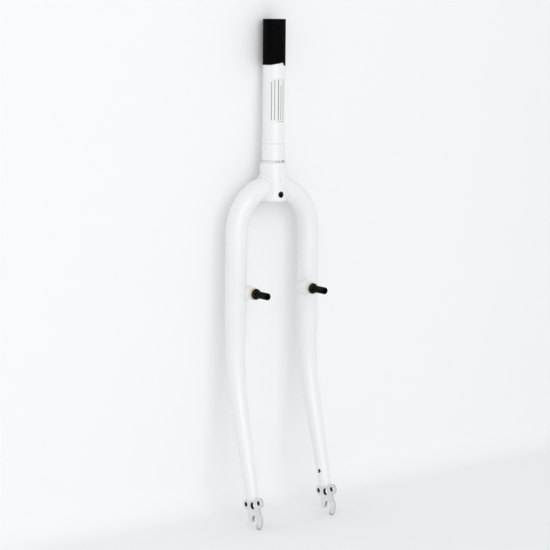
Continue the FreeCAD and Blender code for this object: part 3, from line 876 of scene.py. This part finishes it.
@dataclass
class SteererSticker:
    """A plain sticker on the steerer with ruled bars along it."""

    radius: float = 0.0127
    thickness: float = 0.00008
    ink: float = 0.00002
    sides: Span = (-22.0, 66.0)
    ends: Span = (0.0445, 0.0945)
    corner: float = 0.0025
    film_grid: tuple[int, int] = (60, 40)
    bar_grid: tuple[int, int] = (24, 8)
    bars: tuple[tuple[float, float, float, float], ...] = (
        (-11.0, 3.2, 0.0475, 0.0905), (5.0, 3.2, 0.0475, 0.0928), (24.0, 4.4, 0.0475, 0.0928),
        (39.0, 3.2, 0.0475, 0.0860), (54.0, 3.2, 0.0475, 0.0928), (41.0, 42.0, 0.0457, 0.0461))

    def patch(self, sides: Span, ends: Span, radii: Span, grid: tuple[int, int],
              corner: float = 0.0) -> tuple[list[Point], Faces]:
        """A thin curved slab on the steerer.

        Args:
            sides: its two sides, in degrees from the shown side.
            ends: the heights of its two ends, in metres.
            radii: the radii of its front and of its back.
            grid: its rows and columns of points.
            corner: radius of its rounded corners.

        Returns:
            The slab's points and faces.
        """
        rows, columns = grid
        points, faces = [], grid_faces(rows, 2 * columns)
        for row in range(rows):
            height = ends[0] + (ends[1] - ends[0]) * row / (rows - 1)
            rise = min(height - ends[0], ends[1] - height, corner)
            inset = corner - math.sqrt(max(0.0, corner ** 2 - (corner - rise) ** 2))
            pull = math.degrees(inset / self.radius)
            low, high = sides[0] + pull, sides[1] - pull
            turns = [low + (high - low) * column / (columns - 1) for column in range(columns)]
            points += [around(radii[0], turn, height) for turn in turns]
            points += [around(radii[1], turn, height) for turn in reversed(turns)]
        last = len(points) - 2 * columns
        for column in range(columns - 1):
            opposite = 2 * columns - 1 - column
            cap = (column + 1, column, opposite, opposite - 1)
            faces += [cap, tuple(last + number for number in reversed(cap))]
        return points, faces

    def build(self, finishes: Finishes) -> None:
        """Builds the sticker and its bars.

        Args:
            finishes: the finishes.
        """
        front = self.radius + self.thickness
        points, faces = self.patch(self.sides, self.ends, (front, self.radius), self.film_grid, self.corner)
        make_piece("steerer_sticker", points, faces, finishes.film)
        all_points: list[Point] = []
        all_faces: Faces = []
        for turn, width, *ends in self.bars:
            sides = (turn - width / 2, turn + width / 2)
            points, faces = self.patch(sides, ends, (front + self.ink, front), self.bar_grid)
            start = len(all_points)
            all_points += points
            all_faces += [tuple(number + start for number in face) for face in faces]
        make_piece("steerer_sticker_bars", all_points, all_faces, finishes.ink)


@dataclass
class CrownWeld:
    """The weld bead round the seam of crown and blade, with the ripples that the torch left."""

    side: Side
    crown_radius: float = 0.0155
    blade_radius: float = 0.0124
    bead_radius: float = 0.0024
    axis_across: float = 0.01309
    axis_height: float = -0.02823
    axis_fall: float = 21.66
    ripples: int = 62
    ripple_depth: float = 0.0002
    ripple_bow: float = 0.55
    edge_ripple: float = 0.35
    rows_per_ripple: int = 8
    arc_points: int = 12
    heading_step: float = 0.001
    halvings: int = 20

    def __post_init__(self) -> None:
        """Works out the lines of the left blade at the crown: a point, its axis and up across it."""
        fall = math.radians(self.axis_fall)
        self.node = f"{self.side.value}_crown_weld"
        self.start = Vector((self.axis_across, 0.0, self.axis_height))
        self.axis = Vector((math.cos(fall), 0.0, -math.sin(fall)))
        self.upward = Vector((math.sin(fall), 0.0, math.cos(fall)))

    def seam(self, turn: float) -> tuple[Vector, Vector]:
        """A point of the seam, where the blade's round meets the crown's.

        Args:
            turn: angle about the blade's axis in radians.

        Returns:
            The point and the blade's outward direction there.
        """
        outward = Vector((0.0, math.cos(turn), 0.0)) + self.upward * math.sin(turn)
        point = self.start + outward * self.blade_radius
        across = math.sqrt(self.crown_radius ** 2 - point.y ** 2)
        return point + self.axis * ((across - point.x) / self.axis.x), outward

    def clear(self, point: Vector) -> float:
        """How far a point lies outside both crown and blade, below 0 inside one of them."""
        from_axis = (point - self.start).cross(self.axis).length
        return min(math.hypot(point.x, point.y) - self.crown_radius, from_axis - self.blade_radius)

    def limit(self, spot: Callable[[float, float], Vector], way: float) -> float:
        """Where the bead's round goes into the crown or the blade.

        Args:
            spot: gives a point of the section from its angle and radius.
            way: 1 or -1, the way round from the middle of the bead.

        Returns:
            The angle from the middle, in radians.
        """
        low, high = 0.0, math.pi
        for _ in range(self.halvings):
            half = (low + high) / 2
            if self.clear(spot(way * half, self.bead_radius)) > 0:
                low = half
            else:
                high = half
        return way * low

    def section(self, turn: float, along: float) -> list[Vector]:
        """The left bead's section at one place of the seam.

        Args:
            turn: angle about the blade's axis in radians.
            along: number of ripples up to here.

        Returns:
            The points of the open arc, from one side to the other, and the seam's own point.
        """
        point, outward = self.seam(turn)
        ahead, astern = (self.seam(turn + step)[0] for step in (self.heading_step, -self.heading_step))
        heading = (ahead - astern).normalized()
        middle = Vector((point.x, point.y, 0.0)).normalized() + outward
        middle = (middle - heading * middle.dot(heading)).normalized()
        sideways = heading.cross(middle)

        def spot(angle: float, radius: float) -> Vector:
            """A point of the section at an angle from the middle of the arc."""
            return point + (middle * math.cos(angle) + sideways * math.sin(angle)) * radius

        first, last = self.limit(spot, -1.0), self.limit(spot, 1.0)
        points = []
        for index in range(self.arc_points):
            share = index / (self.arc_points - 1)
            bow = 1 - (2 * share - 1) ** 2
            valley = 1 - abs(math.sin(math.pi * (along + self.ripple_bow * bow)))
            depth = self.ripple_depth * valley * (self.edge_ripple + (1 - self.edge_ripple) * bow)
            points.append(spot(first + (last - first) * share, self.bead_radius - depth))
        return points + [point]

    def build(self, finishes: Finishes) -> None:
        """Builds the bead in the place of the smooth one.

        Args:
            finishes: the finishes.
        """
        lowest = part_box(self.node)[0].z
        rows = self.ripples * self.rows_per_ripple
        points: list[Point] = []
        for row in range(rows):
            section = self.section(2 * math.pi * row / rows, row / self.rows_per_ripple)
            points += [(self.side.mirror * place.x, place.y, max(place.z, lowest)) for place in section]
        faces = grid_faces(rows, self.arc_points + 1, True)
        if self.side is Side.RIGHT:
            faces = [face[::-1] for face in faces]
        bead = make_piece(f"{self.node}_bead", points, faces, finishes.paint)
        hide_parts(self.node)


@dataclass
class BrakePost:
    """A turned post: spigot, bevelled collar and pivot stud, tapped for the brake bolt."""

    side: Side
    collar_start: float = 0.0234
    collar_end: float = 0.0262
    spigot_radius: float = 0.0038
    collar_radius: float = 0.0060
    collar_bevel: float = 0.0006
    collar_ease: float = 0.0003
    stud_radius: float = 0.0040
    stud_bevel: float = 0.0005
    stud_shares: tuple[float, ...] = (0.02, 0.25, 0.5, 0.75, 1.0)
    bore_radius: float = 0.0025
    bore_depth: float = 0.0170
    mouth_bevel: float = 0.0006
    thread_depth: float = 0.00045
    thread_pitch: float = 0.0010
    thread_end: float = 0.0310
    rows_per_pitch: int = 10
    columns: int = 60

    def __post_init__(self) -> None:
        """Takes the post's ends from the frame, as distances to the front."""
        self.node = f"{self.side.value}_brake_post"
        self.stud_end, self.spigot_end = (-corner.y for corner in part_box(self.node))

    def outline(self) -> list[Span]:
        """The post's outside, from the spigot to the mouth of the bore.

        Returns:
            Radius and distance to the front of each point.
        """
        run = self.stud_end - self.stud_bevel - self.collar_end
        collar = [(self.collar_radius - self.collar_ease, self.collar_start),
                  (self.collar_radius, self.collar_start + self.collar_ease),
                  (self.collar_radius, self.collar_end - self.collar_bevel),
                  (self.collar_radius - self.collar_bevel, self.collar_end),
                  (self.stud_radius + self.collar_ease, self.collar_end)]
        stud = [(self.stud_radius, self.collar_end + run * share) for share in self.stud_shares]
        mouth = [(self.stud_radius - self.stud_bevel, self.stud_end),
                 (self.bore_radius + self.mouth_bevel, self.stud_end)]
        return [(self.spigot_radius, self.spigot_end), (self.spigot_radius, self.collar_start),
                *collar, *stud, *mouth]

    def bore(self, turn: float) -> list[Span]:
        """The tapped bore, from its mouth to its bottom.

        Args:
            turn: share of a full turn about the post.

        Returns:
            Radius and distance to the front of each point at that turn.
        """
        start = self.stud_end - self.mouth_bevel
        rows = round((start - self.thread_end) / self.thread_pitch) * self.rows_per_pitch
        points = []
        for row in range(rows + 1):
            place = start + (self.thread_end - start) * row / rows
            groove = 1 - abs(2 * ((place / self.thread_pitch + turn) % 1.0) - 1)
            ease = min(1.0, row / self.rows_per_pitch, (rows - row) / self.rows_per_pitch)
            points.append((self.bore_radius + self.thread_depth * groove * ease, place))
        return points + [(self.bore_radius, self.stud_end - self.bore_depth)]

    def build(self, finishes: Finishes) -> None:
        """Builds the post in the place of the plain one, at the mount of the same name.

        Args:
            finishes: the finishes.
        """
        across, _, height = Hole.at_mount(self.node).centre
        turns = [column / self.columns for column in range(self.columns)]
        profiles = [self.outline() + self.bore(turn) for turn in turns]
        points = []
        for ring in zip(*profiles):
            for turn, (radius, forward) in zip(turns, ring):
                angle = 2 * math.pi * turn
                points.append((across + radius * math.cos(angle), -forward,
                               height + radius * math.sin(angle)))
        faces = grid_faces(len(profiles[0]), self.columns)
        faces.append(tuple(reversed(range(self.columns))))
        faces.append(tuple(range(len(points) - self.columns, len(points))))
        post = make_piece(f"{self.node}_tapped", points, faces, finishes.black)
        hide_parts(self.node)


@dataclass
class Steerer:
    """The steerer with its guard and its sticker."""

    node: str = "steerer_tube"

    def build(self, finishes: Finishes) -> None:
        """Dresses the steerer and builds what sits on it.

        Args:
            finishes: the finishes.
        """
        dress(self.node, finishes.steerer)
        ThreadGuard().build(finishes)
        SteererSticker().build(finishes)


@dataclass
class Leg:
    """One side of the fork: blade, crown weld, brake boss and post, and fork tip."""

    side: Side

    def build(self, finishes: Finishes) -> None:
        """Dresses the solids of this side and builds its weld bead and its post.

        Args:
            finishes: the finishes.
        """
        looks = {"blade": finishes.paint, "brake_boss": finishes.boss, "fork_tip": finishes.plate}
        for part, look in looks.items():
            dress(f"{self.side.value}_{part}", look)
        CrownWeld(self.side).build(finishes)
        BrakePost(self.side).build(finishes)


@dataclass
class Studio:
    """Floor and wall in one sweep of paper, a soft window light from above and pale surroundings.

    The fork leans on the wall, so in the fork's own frame the wall comes nearer towards the top.
    """

    floor: float = -0.40935
    wall: float = 0.0150
    wall_mark: float = 0.160
    lean: float = 3.5
    cove: float = 0.03
    cove_steps: int = 12
    half_width: float = 6.0
    front: float = -6.0
    height: float = 3.0
    fill_colour: Colour = (0.95, 0.98, 1.0, 1.0)
    fill_strength: float = 0.72
    seen_colour: Colour = (0.93, 0.95, 0.965, 1.0)
    key_colour: Point = (1.0, 0.99, 0.97)
    key_power: float = 21.0
    key_size: float = 2.4
    key_place: Point = (-0.72, -2.39, 0.60)
    key_target: Point = (0.0, 0.0, -0.12)

    def wall_place(self, height: float) -> float:
        """How far behind the steerer's axis the wall is at a height."""
        return self.wall + (self.wall_mark - height) * math.tan(math.radians(self.lean))

    def section(self) -> list[Span]:
        """The sweep's section, from the front of the floor to the top of the wall.

        Returns:
            Y and Z of each point.
        """
        lean = math.radians(self.lean)
        middle = self.floor + self.cove
        foot = self.wall_place(middle + self.cove * math.sin(lean)) - self.cove * math.cos(lean)
        points = [(self.front, self.floor)]
        for step in range(self.cove_steps + 1):
            share = step / self.cove_steps
            angle = lean * share - math.pi / 2 * (1 - share)
            points.append((foot + self.cove * math.cos(angle), middle + self.cove * math.sin(angle)))
        return points + [(self.wall_place(self.height), self.height)]

    def build(self, finishes: Finishes) -> None:
        """Builds the paper, the light and the surroundings.

        Args:
            finishes: the finishes.
        """
        section = self.section()
        points = [(across, y, z) for across in (-self.half_width, self.half_width) for y, z in section]
        count = len(section)
        faces = [(row, count + row, count + row + 1, row + 1) for row in range(count - 1)]
        make_piece("backdrop", points, faces, finishes.paper, staged=True)
        self.hang_light()
        self.surround()
        LOG.info("studio built")

    def hang_light(self) -> None:
        """Hangs the window light, turned to the middle of the fork."""
        data = bpy.data.lights.new("window_light", "AREA")
        data.shape = "DISK"
        data.size = self.key_size
        data.energy = self.key_power
        data.color = self.key_colour
        light = bpy.data.objects.new("window_light", data)
        light.location = self.key_place
        aim = Vector(self.key_target) - light.location
        light.rotation_euler = aim.to_track_quat("-Z", "Y").to_euler()
        light.visible_camera = False
        bpy.context.scene.collection.objects.link(light)

    def surround(self) -> None:
        """Makes the pale surroundings, which camera and reflections see at full strength."""
        world = bpy.data.worlds.new("studio")
        world.use_nodes = True
        bpy.context.scene.world = world
        sheet = NodeSheet(world.node_tree)
        fill = world.node_tree.nodes["Background"]
        fill.inputs["Color"].default_value = self.fill_colour
        fill.inputs["Strength"].default_value = self.fill_strength
        seen = sheet.add("ShaderNodeBackground", {"Color": self.seen_colour, "Strength": 1.0})
        path = sheet.add("ShaderNodeLightPath").outputs
        mirrored = sheet.calc("MAXIMUM", path["Is Glossy Ray"], path["Is Transmission Ray"])
        shown = sheet.calc("MAXIMUM", path["Is Camera Ray"], mirrored)
        blend = sheet.add("ShaderNodeMixShader", {0: shown, 1: fill.outputs["Background"],
                                                  2: seen.outputs["Background"]})
        sheet.feed(world.node_tree.nodes["World Output"].inputs["Surface"], blend.outputs["Shader"])


@dataclass
class PhotoCamera:
    """The camera of the photograph, fitted to the fork's own points."""

    azimuth: float = -36.4413
    elevation: float = 8.13161
    roll: float = -0.503993
    distance: float = 1.91606
    focal: float = 1674.236
    image: int = 550
    sensor: float = 36.0
    nearest: float = 0.01
    aside: float = 0.00311597
    target_height: float = -0.1297286

    def build(self) -> None:
        """Places the camera and makes it the scene's own."""
        turn, rise, roll = (math.radians(angle) for angle in (self.azimuth, self.elevation, self.roll))
        back = Vector((math.sin(turn) * math.cos(rise), -math.cos(turn) * math.cos(rise), math.sin(rise)))
        level = Vector((math.cos(turn), math.sin(turn), 0.0))
        upright = back.cross(level)
        right = level * math.cos(roll) - upright * math.sin(roll)
        up = upright * math.cos(roll) + level * math.sin(roll)
        eye = right * self.aside + Vector((0, 0, self.target_height)) + back * self.distance
        data = bpy.data.cameras.new("photo_camera")
        data.sensor_width = self.sensor
        data.lens = self.focal / self.image * self.sensor
        data.clip_start = self.nearest
        camera = bpy.data.objects.new("photo_camera", data)
        camera.matrix_world = Matrix.Translation(eye) @ Matrix((right, up, back)).transposed().to_4x4()
        bpy.context.scene.collection.objects.link(camera)
        bpy.context.scene.camera = camera
        LOG.info("camera placed")


def main() -> None:
    """Builds the dressed fork and its studio."""
    logging.basicConfig(level=logging.INFO, format="%(name)s: %(message)s")
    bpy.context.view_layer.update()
    bpy.context.scene.view_settings.view_transform = "Standard"
    finishes = Finishes(Effects())
    PhotoCamera().build()
    Steerer().build(finishes)
    for side in Side:
        Leg(side).build(finishes)
    Studio().build(finishes)


if __name__ == "__main__":
    main()
